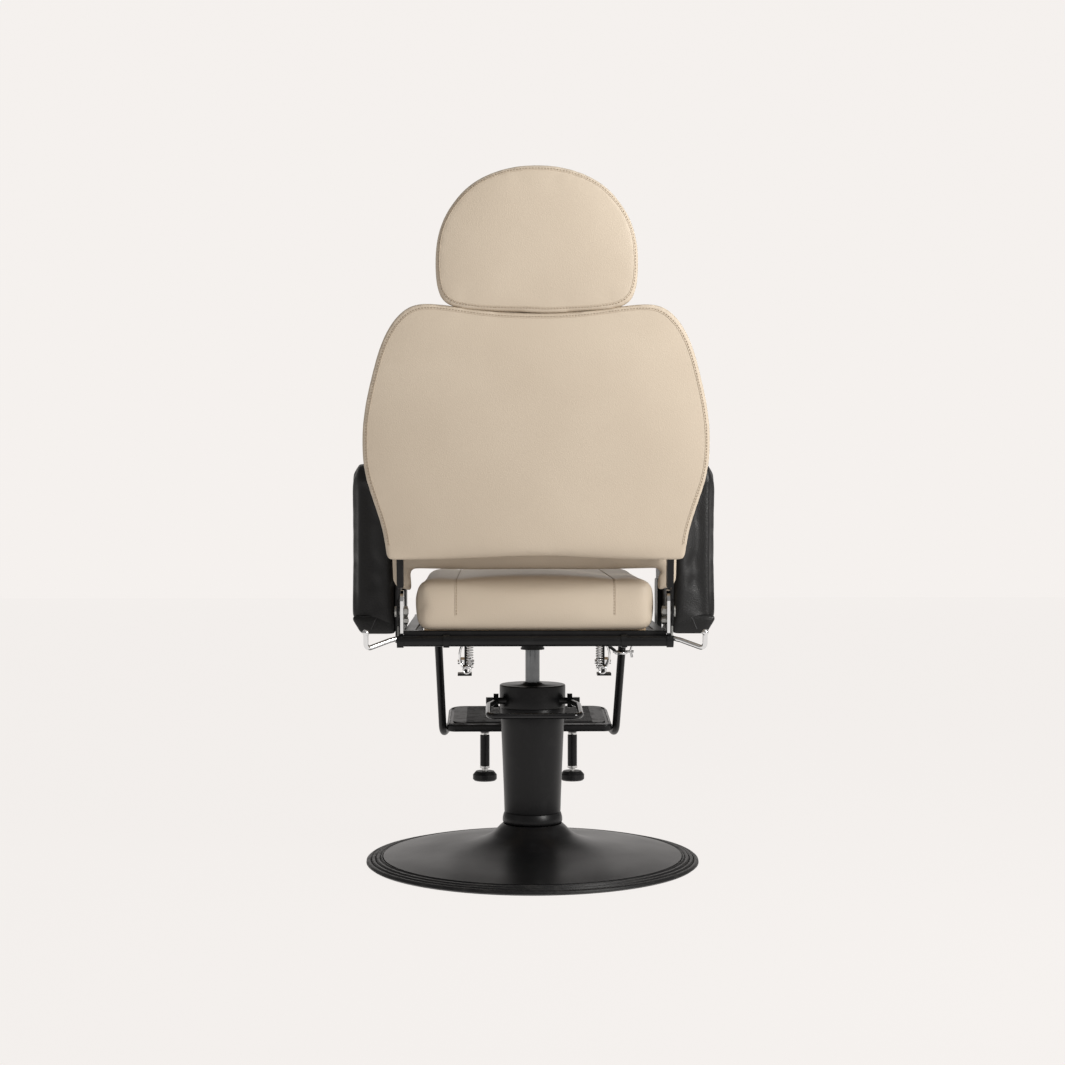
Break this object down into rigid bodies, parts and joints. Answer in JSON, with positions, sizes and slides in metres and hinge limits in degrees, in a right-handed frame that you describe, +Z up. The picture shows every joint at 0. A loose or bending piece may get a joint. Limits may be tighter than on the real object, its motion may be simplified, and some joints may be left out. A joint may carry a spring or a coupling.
{
  "type": "hydraulic barber chair",
  "caption": "Reclining barber chair on a round hydraulic pedestal: beige padded seat, back and headrest, black padded arms, hinged footrest and pump pedal.",
  "frame": {"origin": "on the column's axis at the floor, in the middle of the ballast disc's underside", "axes": "+Z up the column; -Y is where the sitter faces; +X is the sitter's left"},
  "size_m": [0.632, 0.8426, 1.201],
  "materials": {
    "beige_leather": "soft beige upholstery leather, fine grain, satin",
    "black_leather": "black grained upholstery leather, satin",
    "satin_black_steel": "satin black powder coat",
    "gloss_black_steel": "gloss black enamel",
    "chrome_plate": "bright chrome plate",
    "zinc_steel": "zinc plated, dull",
    "cast_iron": "as cast",
    "bronze": "turned bronze",
    "black_rubber": "moulded rubber",
    "plywood": "raw birch plywood"
  },
  "bodies": {
    "base": {"base_plate": "cast_iron", "base_shell": "satin_black_steel", "base_trim": "black_rubber", "pump_cylinder": "zinc_steel", "flange_bolts": "zinc_steel", "column_collar": "satin_black_steel", "column_sleeve": "satin_black_steel", "pump_head": "cast_iron", "top_cap": "satin_black_steel", "guide_bush": "bronze", "wiper_seal": "black_rubber"},
    "pedal": {"pedal_shaft": "zinc_steel", "pedal_loop": "gloss_black_steel", "pump_crank": "zinc_steel"},
    "plunger": {"pump_plunger": "zinc_steel"},
    "piston": {"piston_rod": "chrome_plate", "piston_head": "zinc_steel"},
    "seat": {"swivel_hub": "satin_black_steel", "thrust_washer": "satin_black_steel", "mounting_plate": "satin_black_steel", "plate_bolts": "zinc_steel", "side_rails": "satin_black_steel", "centre_beams": "satin_black_steel", "front_cross_tube": "satin_black_steel", "rear_cross_tube": "satin_black_steel", "seat_board": "plywood", "seat_cushion": "beige_leather", "hinge_plates": "chrome_plate", "hinge_bolts": "zinc_steel", "arm_brackets": "satin_black_steel", "arm_bolts": "zinc_steel", "arm_pad_left": "black_leather", "arm_pad_right": "black_leather", "arm_panels": "black_leather", "spring_lugs": "satin_black_steel", "lug_bolts": "zinc_steel", "lever_bearings": "satin_black_steel", "footrest_hangers": "satin_black_steel", "footrest_bolts": "zinc_steel"},
    "lever": {"torque_tube": "satin_black_steel", "lever_rods": "chrome_plate", "pawls": "zinc_steel"},
    "back": {"back_bars": "satin_black_steel", "back_cross_tubes": "satin_black_steel", "back_board": "plywood", "back_front_cushion": "beige_leather", "back_rear_panel": "beige_leather", "headrest_guides": "satin_black_steel"},
    "headrest": {"headrest_cushion": "beige_leather", "headrest_board": "plywood", "headrest_posts": "chrome_plate"},
    "footrest": {"footrest_tube_left": "satin_black_steel", "footrest_tube_right": "satin_black_steel", "footplate": "satin_black_steel", "tread_mat": "black_rubber", "foot_sleeves": "satin_black_steel"},
    "foot_left": {"foot_stem_left": "zinc_steel", "foot_pad_left": "black_rubber"},
    "foot_right": {"foot_stem_right": "zinc_steel", "foot_pad_right": "black_rubber"}
  },
  "joints": [
    {"name": "seat_lift", "type": "slide", "parent": "base", "child": "piston", "axis": [0, 0, 1], "range_m": [0, 0.14]},
    {"name": "pedal_pump", "type": "hinge", "parent": "base", "child": "pedal", "pos_m": [0, 0.03, 0.294], "axis": [-1, 0, 0], "range_deg": [0, 20], "stiffness_Nm_per_rad": 4, "springref_deg": -17.19},
    {"name": "plunger_stroke", "type": "slide", "parent": "base", "child": "plunger", "axis": [0, 0, -1], "range_m": [0, 0.0065]},
    {"name": "seat_swivel", "type": "hinge", "parent": "piston", "child": "seat", "pos_m": [0, 0, 0.388], "axis": [0, 0, 1], "continuous": true},
    {"name": "recline_lever", "type": "hinge", "parent": "seat", "child": "lever", "pos_m": [0, 0.225, 0.416], "axis": [1, 0, 0], "range_deg": [0, 12], "stiffness_Nm_per_rad": 3, "springref_deg": -34.38},
    {"name": "back_recline", "type": "hinge", "parent": "seat", "child": "back", "pos_m": [0, 0.218, 0.466], "axis": [-1, 0, 0], "range_deg": [0, 60]},
    {"name": "headrest_height", "type": "slide", "parent": "back", "child": "headrest", "axis": [0, 0.1219, 0.9925], "range_m": [0, 0.09]},
    {"name": "footrest_swing", "type": "hinge", "parent": "seat", "child": "footrest", "pos_m": [0, -0.17, 0.398], "axis": [-1, 0, 0], "range_deg": [0, 50]},
    {"name": "foot_left_height", "type": "slide", "parent": "footrest", "child": "foot_left", "axis": [0, 0, -1], "range_m": [0, 0.03]},
    {"name": "foot_right_height", "type": "slide", "parent": "footrest", "child": "foot_right", "axis": [0, 0, -1], "range_m": [0, 0.03]}
  ],
  "couplings": [
    {"joint": "plunger_stroke", "follows": "pedal_pump", "m_per_rad": 0.0172}
  ]
}
